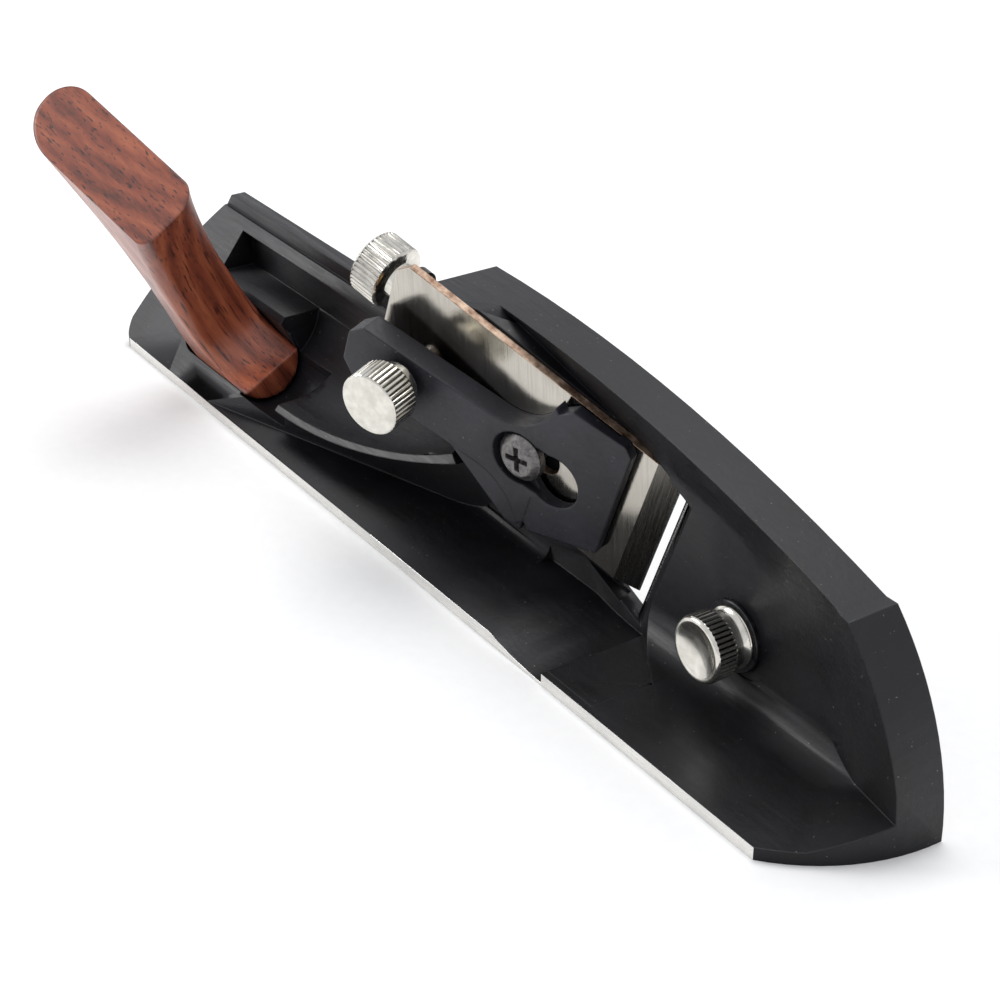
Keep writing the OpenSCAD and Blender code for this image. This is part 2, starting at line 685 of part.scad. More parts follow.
module adjuster_spindle() color("#8d8d92") on_side() spindle_frame()
translate([0, 0, -adj_knob_at - adj_knob_h + 0.8]) difference() {
    cylinder(r = adj_r, h = adj_knob_at + adj_knob_h - 0.8 - slot_front + 1.8);
    // groove of the retaining ring
    translate([0, 0, adj_knob_at + adj_knob_h - 0.8 - slot_rear + 0.05]) difference() {
        cylinder(r = 3, h = 0.42);
        translate([0, 0, -1]) cylinder(r = adj_r - 0.25, h = 3);
    }
}

module adjuster_bushing() color("#2b2b2e") on_side() spindle_frame() difference() {
    union() {
        translate([0, 0, -boss_end]) cylinder(r = bush_r, h = boss_end - slot_rear - 0.02);
        translate([0, 0, -boss_end - 1.2]) cylinder(r = bush_r + 0.7, h = 1.2);
    }
    translate([0, 0, -boss_end - 5]) cylinder(r = adj_r + turn_c, h = 20);
}

module adjuster_ring() color("#55555a") on_side() spindle_frame()
translate([0, 0, -slot_rear + 0.06]) difference() {
    cylinder(r = adj_r + 0.4, h = 0.4);
    translate([0, 0, -1]) cylinder(r = adj_r - 0.24, h = 3);
    translate([0, -0.7, -1]) cube([4, 1.4, 3]);
}

module adjuster_nut() color("#b08d4a") on_side() difference() {
    bed_frame() translate([-nut_at - nut_len / 2, adj_off - nut_w / 2, -adj_drop - 2])
        cube([nut_len, nut_w, adj_drop + 2 - 0.2]);
    spindle_frame() translate([0, 0, -60]) cylinder(r = adj_r + turn_c, h = 60);
    bed_frame() translate([-nut_at, adj_off, -3.6]) cylinder(d = pin_d, h = 5);
}

module adjuster_pin() color("#8d8d92") on_side() bed_frame() translate([-nut_at, adj_off, -3.6])
    cylinder(d = pin_d, h = 3.6 + blade_t - 0.1);

module grip_section(g) {
    r = grip_w / 2;
    translate([0, grip_off]) union() {
        translate([-grip_rear + r, 0]) circle(r = r + g);
        translate([grip_front - r, 0]) circle(r = r + g);
        translate([-grip_rear + r, -r - g]) square([grip_rear + grip_front - grip_w, grip_w + 2 * g]);
    }
}

// rounded foot of the handle, grown by g for its seat
module grip_foot(g) grip_frame() intersection() {
    translate([0, 0, -foot_deep - g]) linear_extrude(foot_deep + 8) grip_section(g);
    translate([-40, grip_off, foot_r - foot_deep]) union() {
        rotate([0, 90, 0]) cylinder(r = foot_r + g, h = 40 + foot_x + g);
        translate([0, -20, 0]) cube([40 + foot_x + g, 40, 30]);
    }
}

module handle() color("#7a3b25") on_side() difference() {
    union() {
        grip_foot(0);
        grip_frame() translate([0, 0, 1]) linear_extrude(grip_h + 12) grip_section(0);
    }
    // sloping top
    grip_frame() translate([0, 0, grip_h]) rotate([top_side, top_slope, 0])
        translate([-60, -60, 0]) cube([120, 120, 60]);
    grip_frame() translate([0, 40, 0]) rotate([90, 0, 0]) linear_extrude(80) {
        // long sweep down the front
        intersection() {
            translate([sweep_at + sweep_r, sweep_low]) circle(r = sweep_r);
            translate([-20, instep_r - crease_z]) square([200, 60]);
        }
        translate([foot_x, instep_r - crease_z]) circle(r = instep_r);
        translate([foot_x, -20]) square([60, 20 + instep_r - crease_z + 0.1]);
        // leaning back with its hollow under the horn
        translate([-back_x, back_z]) rotate(-back_ang) translate([-60, -20]) square([60, 20 + horn_at]);
        translate([-back_x, back_z]) rotate(-back_ang) translate([-horn_r, horn_at]) circle(r = horn_r);
    }
    // bores of the inserts and screws
    for (s = [-1, 1]) fix_frame() translate([s * fix_pitch / 2, 0, 0]) {
        translate([0, 0, insert_y]) cylinder(d = insert_d, h = insert_l);
        cylinder(r = fix_d / 2 + turn_c, h = insert_y + 1);
    }
}

module handle_inserts() color("#b08d4a") on_side() for (s = [-1, 1])
fix_frame() translate([s * fix_pitch / 2, 0, insert_y]) difference() {
    cylinder(d = insert_d, h = insert_l);
    translate([0, 0, -1]) cylinder(r = fix_d / 2, h = insert_l);
}

module handle_screws() color("#8d8d92") on_side() for (s = [-1, 1])
fix_frame() translate([s * fix_pitch / 2, 0, 0]) difference() {
    union() {
        translate([0, 0, 0.1]) cylinder(r1 = fix_d - 0.14, r2 = fix_d / 2, h = fix_d / 2 - 0.14);
        translate([0, 0, 0.8]) cylinder(r = fix_d / 2, h = fix_len - 0.8);
    }
    for (a = [0, 90]) rotate(a + 45) translate([-1, -0.2, -1]) cube([2, 0.4, 1.7]);
}

body();
toe_plate();
toe_lock_stud();
toe_lock_washer();
toe_lock_knob();
blade();
lever_cap();
lever_cap_screw();
lever_cap_knob();
lever_cap_stud();
adjuster_knob();
adjuster_grub_screw();
adjuster_spindle();
adjuster_bushing();
adjuster_ring();
adjuster_nut();
adjuster_pin();
handle();
handle_inserts();
handle_screws();
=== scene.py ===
# A small skew shooting plane, lying on its riding side: a black enamelled casting with a ground
# sole, a toe plate held by a knurled knob, a blade fed by a screw under a lever cap, and a handle.
import math

import bmesh
import bpy
from mathutils import Matrix, Vector


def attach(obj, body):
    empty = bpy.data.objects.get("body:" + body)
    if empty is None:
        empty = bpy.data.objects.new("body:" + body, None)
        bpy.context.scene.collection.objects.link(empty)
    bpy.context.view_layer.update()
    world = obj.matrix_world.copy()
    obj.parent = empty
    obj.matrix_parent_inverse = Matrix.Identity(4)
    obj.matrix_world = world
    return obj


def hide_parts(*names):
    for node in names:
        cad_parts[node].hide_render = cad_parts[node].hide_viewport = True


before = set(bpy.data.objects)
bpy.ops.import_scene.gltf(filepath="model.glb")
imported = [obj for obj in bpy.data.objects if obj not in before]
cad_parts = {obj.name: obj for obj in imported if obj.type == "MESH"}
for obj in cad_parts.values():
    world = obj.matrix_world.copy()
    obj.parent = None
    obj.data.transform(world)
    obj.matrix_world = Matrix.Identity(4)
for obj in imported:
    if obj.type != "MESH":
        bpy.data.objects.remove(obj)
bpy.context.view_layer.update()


# Camera and studio
# The plane lies on a white sweep in a paper tent, under a broad softbox and beside a window. It is
# seen from over its nose, from the side that the user's hand comes from.
MM = 0.001
CAMERA_PLACE = Vector((166.35, -104.5, 114.65)) * MM
CAMERA_TURN = math.radians(56.14)
CAMERA_RISE = math.radians(29.14)
LENS = 72
SENSOR = 36
FLOOR_HALF = 1.5
FLOOR_GAP = 0.02
TENT_STRENGTH = 0.86

camera_data = bpy.data.cameras.new("camera")
camera_data.lens = LENS
camera_data.sensor_width = SENSOR
camera_data.clip_start = 0.005
camera = bpy.data.objects.new("camera", camera_data)
camera.location = CAMERA_PLACE
camera.rotation_euler = (math.pi / 2 - CAMERA_RISE, 0, CAMERA_TURN)
bpy.context.collection.objects.link(camera)
bpy.context.scene.camera = camera
bpy.context.scene.view_settings.view_transform = "Standard"


def linear(hex_colour):
    """Turns an sRGB hex value into the linear colour that a shader takes."""
    parts = [int(hex_colour[i:i + 2], 16) / 255 for i in (1, 3, 5)]
    return [c / 12.92 if c <= 0.04045 else ((c + 0.055) / 1.055) ** 2.4 for c in parts] + [1]


def add(tree, kind, feeds=None, **settings):
    """Adds a node to a tree; feeds gives an input its value, or the socket that drives it."""
    made = tree.nodes.new("ShaderNode" + kind)
    for name, value in settings.items():
        setattr(made, name, value)
    for name, value in (feeds or {}).items():
        if isinstance(value, bpy.types.NodeSocket):
            tree.links.new(value, made.inputs[name])
        else:
            made.inputs[name].default_value = value
    return made


def new_material(name):
    """An empty node material, its tree, and the object coordinates that its patterns read."""
    material = bpy.data.materials.new(name)
    material.use_nodes = True
    tree = material.node_tree
    tree.nodes.clear()
    return material, tree, add(tree, "TexCoord").outputs["Object"]


def two_tones(tree, value, low, dark, high, light):
    """A ramp from the dark colour at low to the light one at high."""
    ramp = add(tree, "ValToRGB", {"Fac": value})
    for stop, place, colour in zip(ramp.color_ramp.elements, (low, high), (dark, light)):
        stop.position = place
        stop.color = linear(colour)
    return ramp.outputs["Color"]


def cover(tree, **feeds):
    """Ends a material with one principled shader."""
    named = {name.replace("_", " "): value for name, value in feeds.items()}
    made = add(tree, "BsdfPrincipled", named)
    add(tree, "OutputMaterial", {"Surface": made.outputs[0]})


# matt white card: no gloss, so that the floor shows only soft shadows
card, tree, where = new_material("matt white card")
tooth = add(tree, "TexNoise", {"Vector": where, "Scale": 1 / (1.5 * MM), "Detail": 2})
cover(tree, Base_Color=two_tones(tree, tooth.outputs["Fac"], 0.3, "#f7f7f6", 0.7, "#f9f9f8"),
      Roughness=0.9)

bm = bmesh.new()
bmesh.ops.create_grid(bm, x_segments=1, y_segments=1, size=FLOOR_HALF)
bmesh.ops.translate(bm, verts=bm.verts, vec=(0, 0, -FLOOR_GAP * MM))
floor_mesh = bpy.data.meshes.new("floor")
bm.to_mesh(floor_mesh)
bm.free()
floor_mesh.materials.append(card)
floor = bpy.data.objects.new("floor", floor_mesh)
bpy.context.collection.objects.link(floor)

world = bpy.data.worlds.new("paper tent")
world.use_nodes = True
bpy.context.scene.world = world
world.node_tree.nodes["Background"].inputs["Color"].default_value = linear("#f2f3f7")
world.node_tree.nodes["Background"].inputs["Strength"].default_value = TENT_STRENGTH

for name, place, aim, size, power in (
    ("softbox", (-80, 120, 520), (0, 0, 0), 380, 1.15),
    ("window", (-420, -360, 260), (0, 0, 20), 300, 1.2),
):
    light_data = bpy.data.lights.new(name, "AREA")
    light_data.shape = "DISK"
    light_data.size = size * MM
    light_data.energy = power
    light = bpy.data.objects.new(name, light_data)
    light.location = Vector(place) * MM
    light.rotation_euler = (Vector(aim) - Vector(place)).to_track_quat("-Z", "Y").to_euler()
    bpy.context.collection.objects.link(light)


# Casting
# One grey-iron casting: sole, riding wall, arched rim, sloping bed and heel deck. It is stove
# enamelled black all over, and then the sole, the riding face and the wall's edge are ground bare.
LENGTH = 140.5
HALF_WIDTH = 7.925
CASTING_CREASE = 18
CASTING_ROUND = 0.06
# a ground face is square to its direction and near its plane
SQUARE = 0.95
NEAR = 0.02
# the part of the riding wall that is missing beside the mouth, 0.015 mm inside the wall's faces
FILL_AT = (103.77, 0.7, 8.25)
FILL_SIZE = (7.46, 1.37, 13.5)

# from the casting's own drawing, in millimetres, to the plane as it lies, in metres
on_side = (Matrix.Scale(MM, 4) @ Matrix.Translation((-LENGTH / 2, HALF_WIDTH, 0))
           @ Matrix.Rotation(math.pi / 2, 4, "X"))


def cad_copy(node):
    """Copies a CAD node's mesh with its loose triangles merged."""
    bm = bmesh.new()
    bm.from_mesh(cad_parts[node].data)
    bmesh.ops.remove_doubles(bm, verts=bm.verts, dist=0.002 * MM)
    return bm


def make_piece(bm, name, body, slot, *materials, crease=18):
    """Turns a bmesh into a piece that rides on a body.

    An edge that turns by more than crease, in degrees, stays crisp."""
    mesh = bpy.data.meshes.new(name)
    bm.to_mesh(mesh)
    bm.free()
    mesh.shade_smooth()
    mesh.set_sharp_from_angle(angle=math.radians(crease))
    for material in materials:
        mesh.materials.append(material)
    piece = bpy.data.objects.new(name, mesh)
    bpy.context.collection.objects.link(piece)
    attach(piece, body)
    return piece


def round_edges(piece, width, segments=2, angle=34):
    """Rounds every edge that turns by more than angle, in degrees, by width in millimetres."""
    rounding = piece.modifiers.new("rounded edges", "BEVEL")
    rounding.width = width * MM
    rounding.segments = segments
    rounding.limit_method = "ANGLE"
    rounding.angle_limit = math.radians(angle)
    rounding.use_clamp_overlap = False
    rounding.harden_normals = True


def spread(tree, value, low, high, least, most):
    """Maps low to high of a value onto least to most."""
    mapped = add(tree, "MapRange", {
        "Value": value, "From Min": low, "From Max": high, "To Min": least, "To Max": most})
    return mapped.outputs[0]


def stove_enamel(name, dark, light, gloss, peel_depth, softened):
    """Baked black enamel on rough iron: cloudy black, satin from orange peel, with dust in it.

    Its crests rise by peel_depth, and it rounds corners and edges by softened, in millimetres."""
    material, tree, where = new_material(name)
    # clouds of tone, 9 mm across
    clouds = add(tree, "TexNoise", {
        "Vector": where, "Scale": 1 / (9 * MM), "Detail": 4, "Roughness": 0.6})
    tone = two_tones(tree, clouds.outputs["Fac"], 0.35, dark, 0.7, light)
    # dust caught in the enamel, specks of 0.15 mm
    dust = add(tree, "TexNoise", {"Vector": where, "Scale": 1 / (0.35 * MM), "Detail": 1})
    specks = spread(tree, dust.outputs["Fac"], 0.75, 0.8, 0, 0.45)
    dusty = add(tree, "MixRGB", {"Fac": specks, "Color1": tone, "Color2": linear("#8f8c86")})
    # rubbed streaks, 0.4 mm wide and 6 mm long
    strokes = add(tree, "Mapping", {"Vector": where, "Scale": (1 / 15, 1, 1)})
    rubbing = add(tree, "TexNoise", {
        "Vector": strokes.outputs[0], "Scale": 1 / (0.4 * MM), "Detail": 3, "Roughness": 0.7})
    rough = spread(tree, rubbing.outputs["Fac"], 0.3, 0.7, gloss, gloss + 0.16)
    # orange peel, 0.7 mm from crest to crest
    peel = add(tree, "TexNoise", {"Vector": where, "Scale": 1 / (0.7 * MM), "Detail": 3})
    flowed = add(tree, "Bevel", {"Radius": softened * MM}, samples=6)
    skin = add(tree, "Bump", {
        "Height": peel.outputs["Fac"], "Strength": 0.3, "Distance": peel_depth * MM,
        "Normal": flowed.outputs[0]})
    # painted shade: the enamel reflects less in recesses that the AO node finds enclosed, which
    # darkens them
    painted_shade_ao = add(tree, "AmbientOcclusion", {"Distance": 7 * MM}, samples=6)
    cover(tree, Base_Color=dusty.outputs[0], Roughness=rough, IOR=1.5,
          Specular_IOR_Level=spread(tree, painted_shade_ao.outputs["AO"], 0.35, 0.9, 0.1, 0.42),
          Normal=skin.outputs[0])
    return material


def ground_metal(name, dark, light, turn, stroke, gloss, cut_depth=0.02):
    """Bare metal with the fine parallel lines of a grinding wheel, which run along turn."""
    material, tree, where = new_material(name)
    along = add(tree, "Mapping", {"Vector": where, "Rotation": turn}, vector_type="TEXTURE")
    lines = add(tree, "Mapping", {"Vector": along.outputs[0], "Scale": (1 / stroke, 1, 1)})
    # lines 0.12 mm apart, coarser than the real grit's so that they show
    grinding = add(tree, "TexNoise", {
        "Vector": lines.outputs[0], "Scale": 1 / (0.12 * MM), "Detail": 3, "Roughness": 0.7})
    haze = add(tree, "TexNoise", {"Vector": where, "Scale": 1 / (5 * MM), "Detail": 3})
    mixed = add(tree, "MixRGB", {
        "Fac": 0.35, "Color1": grinding.outputs["Fac"], "Color2": haze.outputs["Fac"]})
    tone = two_tones(tree, mixed.outputs[0], 0.32, dark, 0.68, light)
    rough = spread(tree, grinding.outputs["Fac"], 0.3, 0.7, gloss, gloss + 0.14)
    cut = add(tree, "Bump", {
        "Height": grinding.outputs["Fac"], "Strength": 0.25, "Distance": cut_depth * MM})
    cover(tree, Base_Color=tone, Metallic=1.0, Roughness=rough, Normal=cut.outputs[0])
    return material


enamel = stove_enamel("stove enamel", "#0b0b0d", "#16161b", 0.32, 0.06, 0.2)
ground_iron = ground_metal("ground iron", "#cfcecb", "#f0eeea", (0, 0, 0), 40, 0.2)

bm = cad_copy("body")
for face in bm.faces:
    centre = face.calc_center_median() / MM
    riding_face = face.normal.z < -SQUARE and centre.z < NEAR
    sole = face.normal.y > SQUARE and centre.y > HALF_WIDTH - NEAR
    wall_edge = face.normal.y < -SQUARE and centre.y < NEAR - HALF_WIDTH
    face.material_index = 1 if riding_face or sole or wall_edge else 0
# beside the mouth the wall is whole: this closes the window that the CAD mesh has there
made = bmesh.ops.create_cube(bm, size=1)
bmesh.ops.transform(bm, verts=made["verts"],
                    matrix=on_side @ Matrix.LocRotScale(FILL_AT, None, FILL_SIZE))
casting = make_piece(bm, "casting", "body", "enamel", enamel, ground_iron, crease=CASTING_CREASE)
round_edges(casting, CASTING_ROUND)
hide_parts("body")


# Toe plate with its lock
# The ground plate closes the sole ahead of the mouth and slides to set its width. A steel stud
# rises from it through the toe floor, and a nickel-plated knob on a black washer locks it.
EDGE_X = 98.62
TOE_KNOB_AT = 14.58
TOE_KNOB_UP = 8.1
toe_lock = on_side @ Matrix.Translation((EDGE_X + TOE_KNOB_AT, TOE_KNOB_UP, 0))
BORE_R = 1.54
KNURL_GROOVES = 40
GROOVE_DEPTH = 0.3
GROOVE_SHARE = 0.26
ON_RADIUS = 0.004


def finish_node(node, material):
    """Gives a CAD node that is shown as it is the material of the real piece."""
    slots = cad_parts[node].data.materials
    slots.clear()
    slots.append(material)


def turned(profile, place, steps=96):
    """Turns a profile of (radius, height) points, in millimetres, about the Z of a place."""
    bm = bmesh.new()
    line = [bm.verts.new((radius, 0, height)) for radius, height in profile]
    sides = [bm.edges.new(pair) for pair in zip(line, line[1:])]
    bmesh.ops.spin(bm, geom=line + sides, cent=(0, 0, 0), axis=(0, 0, 1), angle=2 * math.pi,
                   steps=steps, use_merge=True)
    bmesh.ops.remove_doubles(bm, verts=bm.verts, dist=0.001)
    bmesh.ops.transform(bm, matrix=place, verts=bm.verts)
    bmesh.ops.recalc_face_normals(bm, faces=bm.faces)
    return bm


def knurled(profile, radius, place):
    """A turned knob with straight V grooves rolled into all of it that has this radius.

    A groove takes GROOVE_SHARE of the pitch to each side of its middle."""
    steps = KNURL_GROOVES * 6
    bm = turned(profile, Matrix.Identity(4), steps)
    for vert in bm.verts:
        if abs(math.hypot(vert.co.x, vert.co.y) - radius) < ON_RADIUS:
            turn = math.atan2(vert.co.y, vert.co.x) / (2 * math.pi) * KNURL_GROOVES
            from_groove = abs(turn - round(turn))
            sunk = GROOVE_DEPTH * max(0, 1 - from_groove / GROOVE_SHARE)
            vert.co.x *= 1 - sunk / radius
            vert.co.y *= 1 - sunk / radius
    bmesh.ops.transform(bm, matrix=place, verts=bm.verts)
    bmesh.ops.recalc_face_normals(bm, faces=bm.faces)
    return bm


# satin nickel plate: warm white metal, soft and even, with small handling marks
nickel, tree, where = new_material("satin nickel plate")
haze = add(tree, "TexNoise", {"Vector": where, "Scale": 1 / (1.2 * MM), "Detail": 4})
tone = two_tones(tree, haze.outputs["Fac"], 0.35, "#cfccc3", 0.65, "#e6e3da")
marks = add(tree, "TexNoise", {"Vector": where, "Scale": 1 / (0.9 * MM), "Detail": 5})
rough = spread(tree, marks.outputs["Fac"], 0.35, 0.7, 0.12, 0.25)
# painted shade: the knurl grooves and other nooks are mixed towards near black where the AO node
# finds them enclosed
painted_shade_ao = add(tree, "AmbientOcclusion", {"Distance": 0.5 * MM}, samples=8)
groove_shade = spread(tree, painted_shade_ao.outputs["AO"], 0.35, 0.75, 0.8, 0)
oiled = add(tree, "MixRGB", {"Fac": groove_shade, "Color1": tone, "Color2": linear("#1e1d1c")})
cover(tree, Base_Color=oiled.outputs[0], Metallic=1.0, Roughness=rough)

# drawn steel: plain rod with lines along it, a little dulled by handling
drawn_steel = ground_metal("drawn steel", "#77767a", "#b4b3b5", (0, math.pi / 2, 0), 20, 0.22)

# blacked steel: hot black over a turned surface, with an oily sheen
blacked_steel, tree, where = new_material("blacked steel")
haze = add(tree, "TexNoise", {"Vector": where, "Scale": 1 / (0.5 * MM), "Detail": 4})
cover(tree, Base_Color=two_tones(tree, haze.outputs["Fac"], 0.35, "#1b1b1d", 0.7, "#38383b"),
      Metallic=0.6, Roughness=spread(tree, haze.outputs["Fac"], 0.3, 0.7, 0.26, 0.42))

finish_node("toe_plate", ground_iron)
finish_node("toe_lock_stud", drawn_steel)

washer = turned([(BORE_R, 2.0), (3.74, 2.0), (3.8, 2.06), (3.8, 2.38), (3.68, 2.5), (BORE_R, 2.5),
                 (BORE_R, 2.0)], toe_lock)
washer = make_piece(washer, "toe_washer", "toe", "dark_steel", blacked_steel)
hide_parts("toe_lock_washer")

# the knob's neck spreads to a thin flange, and its face is dished inside a rounded rim
DISH_R = 6.4
DISH_CENTRE = 12.68
KNOB_R = 3.5
dish = [(r, DISH_CENTRE - math.sqrt(DISH_R ** 2 - r ** 2)) for r in (2.7, 2.3, 1.8, 1.2, 0.6, 0)]
toe_profile = [(0, 5.7), (BORE_R, 5.7), (BORE_R, 2.5), (3.2, 2.5), (3.25, 2.58), (3.2, 2.68),
               (2.95, 2.8), (2.75, 3.05), (2.65, 3.5), (2.6, 4.2), (2.68, 4.3), (3.2, 4.3),
               (KNOB_R, 4.6), (KNOB_R, 4.62), (KNOB_R, 6.55), (3.47, 6.68), (3.38, 6.83),
               (3.24, 6.95), (3.08, 6.99), (2.92, 6.97)] + dish
toe_knob = make_piece(knurled(toe_profile, KNOB_R, toe_lock), "toe_knob_turned", "toe_knob",
                      "nickel", nickel, crease=30)
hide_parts("toe_lock_knob")


# Blade
# Tool steel, ground flat on both faces, bedded low and skewed across the sole. Its bevel faces up
# and ends in a narrow honed strip, and its sides keep the brown of the furnace.
SKEW = math.radians(22)
BED = math.radians(16)
EDGE_Y = 10.85
bed = (on_side @ Matrix.Translation((EDGE_X, EDGE_Y, 0)) @ Matrix.Rotation(-SKEW, 4, "Z")
       @ Matrix.Rotation(BED, 4, "Y"))
HONED = 0.28
BLADE_ROUND = 0.07
# how squarely a face of the blade has to look up to be flat, or to be bevel
FLAT = 0.99
BEVEL = 0.9
# a brown reflection of the thumb screw is painted on the blade's face around this point, within
# this radius
SCREW_REFLECTION = bed @ Vector((-29.5, 1.8, 1))
SCREW_REFLECTION_R = 4.5


def brushed_steel(name, dark, light, gloss, turned_by, reflection_amount=0.0):
    """Steel with brushed lines on the slant, and a painted brown reflection of the thumb screw
    beside it.
    """
    material, tree, where = new_material(name)
    across = (bed.to_3x3() @ Matrix.Rotation(turned_by, 3, "Z") @ Vector((0, 1, 0))).normalized()
    turn = Vector((1, 0, 0)).rotation_difference(across).to_euler()
    along = add(tree, "Mapping", {"Vector": where, "Rotation": turn}, vector_type="TEXTURE")
    lines = add(tree, "Mapping", {"Vector": along.outputs[0], "Scale": (1 / 50, 1, 1)})
    # brushed lines 0.15 mm apart, coarser than the real ones so that they show
    brushing = add(tree, "TexNoise", {
        "Vector": lines.outputs[0], "Scale": 1 / (0.15 * MM), "Detail": 4, "Roughness": 0.75})
    clouds = add(tree, "TexNoise", {"Vector": where, "Scale": 1 / (4 * MM), "Detail": 3})
    mixed = add(tree, "MixRGB", {
        "Fac": 0.3, "Color1": brushing.outputs["Fac"], "Color2": clouds.outputs["Fac"]})
    tone = two_tones(tree, mixed.outputs[0], 0.3, dark, 0.7, light)
    # painted reflection: the face is mixed towards brown near a point beside the thumb screw,
    # fading out over a few millimetres
    away = add(tree, "VectorMath", {0: where, 1: SCREW_REFLECTION}, operation="DISTANCE")
    painted_reflection = spread(tree, away.outputs["Value"], 0, SCREW_REFLECTION_R * MM, reflection_amount, 0)
    reflected_tone = add(tree, "MixRGB", {"Fac": painted_reflection, "Color1": tone, "Color2": linear("#7a4d24")})
    rough = spread(tree, brushing.outputs["Fac"], 0.3, 0.7, gloss, gloss + 0.12)
    cut = add(tree, "Bump", {
        "Height": brushing.outputs["Fac"], "Strength": 0.3, "Distance": 0.015 * MM})
    cover(tree, Base_Color=reflected_tone.outputs[0], Metallic=1.0, Roughness=rough,
          Normal=cut.outputs[0])
    return material


# the face carries the painted brown reflection of the thumb screw
blade_face = brushed_steel("brushed tool steel", "#a39e95", "#d5d0c6", 0.09, math.radians(20), 0.7)
blade_bevel = brushed_steel("ground bevel", "#5c5954", "#8b8781", 0.2, math.radians(3))
blade_honed = brushed_steel("honed strip", "#c4c2bd", "#efeeea", 0.1, math.radians(90))

# furnace scale: brown and pink tarnish, rough and uneven, on the blade's sides
scale_brown, tree, where = new_material("furnace scale")
blotches = add(tree, "TexNoise", {
    "Vector": where, "Scale": 1 / (1.4 * MM), "Detail": 5, "Roughness": 0.7})
cover(tree, Base_Color=two_tones(tree, blotches.outputs["Fac"], 0.35, "#6d5140", 0.66, "#c9b09a"),
      Metallic=0.7, Roughness=spread(tree, blotches.outputs["Fac"], 0.3, 0.7, 0.34, 0.55))

bm = cad_copy("blade")
edge_side = (bed.to_3x3() @ Vector((1, 0, 0))).normalized()
face_side = (bed.to_3x3() @ Vector((0, 0, 1))).normalized()
bmesh.ops.bisect_plane(bm, geom=bm.verts[:] + bm.edges[:] + bm.faces[:],
                       plane_co=bed @ Vector((-HONED, 0, 0)), plane_no=edge_side)
for face in bm.faces:
    on_bed = bed.inverted() @ face.calc_center_median()
    facing = face.normal.dot(face_side)
    if abs(facing) > FLAT:
        face.material_index = 0
    elif facing > BEVEL:
        face.material_index = 2 if on_bed.x > -HONED else 1
    else:
        face.material_index = 3
blade = make_piece(bm, "skew_blade", "blade", "blade_steel", blade_face, blade_bevel, blade_honed,
                   scale_brown)
round_edges(blade, BLADE_ROUND, segments=1, angle=30)
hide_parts("blade")


# Lever cap with its screws
# A cast cap, enamelled like the body, bears on the blade at its front. It hooks under a cross-head
# screw by a slotted pocket, and a nickel thumb screw at its tail levers it down.
CAP_TILT = math.radians(6)
CAP_FRONT = 5.4
CAP_RISE = 2.2
CAP_KNOB_AT = 27.3
cap_top = (bed @ Matrix.Translation((-CAP_FRONT, 0, CAP_RISE))
           @ Matrix.Rotation(CAP_TILT, 4, "Y"))
thumb_screw = cap_top @ Matrix.Translation((-CAP_KNOB_AT, 0, 0))
CAP_ROUND = 0.1
SCREW_ROUND = 0.12
CAP_KNOB_R = 3.6
RIM_R = 3.34
RIM_TOP = 5.8
# a wedge that makes the cap's lower shoulder one straight slope: its corners in plan and its depth
SHOULDER = ((-20.5, -3.7), (-11.2, -9.12), (-9.0, -9.12), (-9.0, -3.7))
SHOULDER_DEPTH = 1.9
SHOULDER_DROP = 0.02
STUD_R = 1.5
THREAD_PITCH = 0.5
THREAD_DEPTH = 0.17


def lathe_rings(outer, height, rings=9, depth=0.012):
    """Points of a flat face from its rim to its middle, with the rings of the facing tool."""
    cuts = [(outer * (1 - i / rings), height - depth * (i % 2)) for i in range(1, rings)]
    return cuts + [(0, height)]


worn_enamel = stove_enamel("worn stove enamel", "#1b1b1f", "#2b2b32", 0.36, 0.1, 0.35)
bm = cad_copy("lever_cap")
plan = bm.faces.new([bm.verts.new((along, across, -SHOULDER_DROP)) for along, across in SHOULDER])
walls = bmesh.ops.extrude_face_region(bm, geom=[plan], use_keep_orig=True)["geom"]
lower = [part for part in walls if isinstance(part, bmesh.types.BMVert)]
bmesh.ops.translate(bm, verts=lower, vec=(0, 0, -SHOULDER_DEPTH))
shoulder = list(plan.verts) + lower
bmesh.ops.transform(bm, matrix=cap_top, verts=shoulder)
bmesh.ops.recalc_face_normals(bm, faces=[f for f in bm.faces if f.verts[0] in shoulder])
cap = make_piece(bm, "cast_cap", "cap", "enamel", worn_enamel, crease=25)
round_edges(cap, CAP_ROUND, segments=3)
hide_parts("lever_cap")

# worn steel: a screw head whose blacking has rubbed off to grey, with bright scuffs
worn_steel, tree, where = new_material("worn steel")
scuffs = add(tree, "TexNoise", {
    "Vector": where, "Scale": 1 / (0.5 * MM), "Detail": 5, "Roughness": 0.75})
dents = add(tree, "Bump", {
    "Height": scuffs.outputs["Fac"], "Strength": 0.4, "Distance": 0.05 * MM})
cover(tree, Base_Color=two_tones(tree, scuffs.outputs["Fac"], 0.3, "#4f4d4e", 0.68, "#8f8b8a"),
      Metallic=0.9, Roughness=spread(tree, scuffs.outputs["Fac"], 0.3, 0.7, 0.3, 0.5),
      Normal=dents.outputs[0])

cap_screw = make_piece(cad_copy("lever_cap_screw"), "cross_head_screw", "cap_screw", "dark_steel",
                       worn_steel, crease=25)
round_edges(cap_screw, SCREW_ROUND, angle=25)
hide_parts("lever_cap_screw")

cap_profile = [(0, 5.6), (STUD_R, 5.6), (STUD_R, 0.5), (2.4, 0.5), (2.5, 0.6), (2.5, 2.0),
               (3.3, 2.0), (CAP_KNOB_R, 2.3), (CAP_KNOB_R, 5.52), (3.56, 5.66), (3.46, 5.76),
               (RIM_R, RIM_TOP)] + lathe_rings(RIM_R, RIM_TOP)
cap_knob = make_piece(knurled(cap_profile, CAP_KNOB_R, thumb_screw), "thumb_knob_turned",
                      "cap_knob", "nickel", nickel, crease=30)
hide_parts("lever_cap_knob")

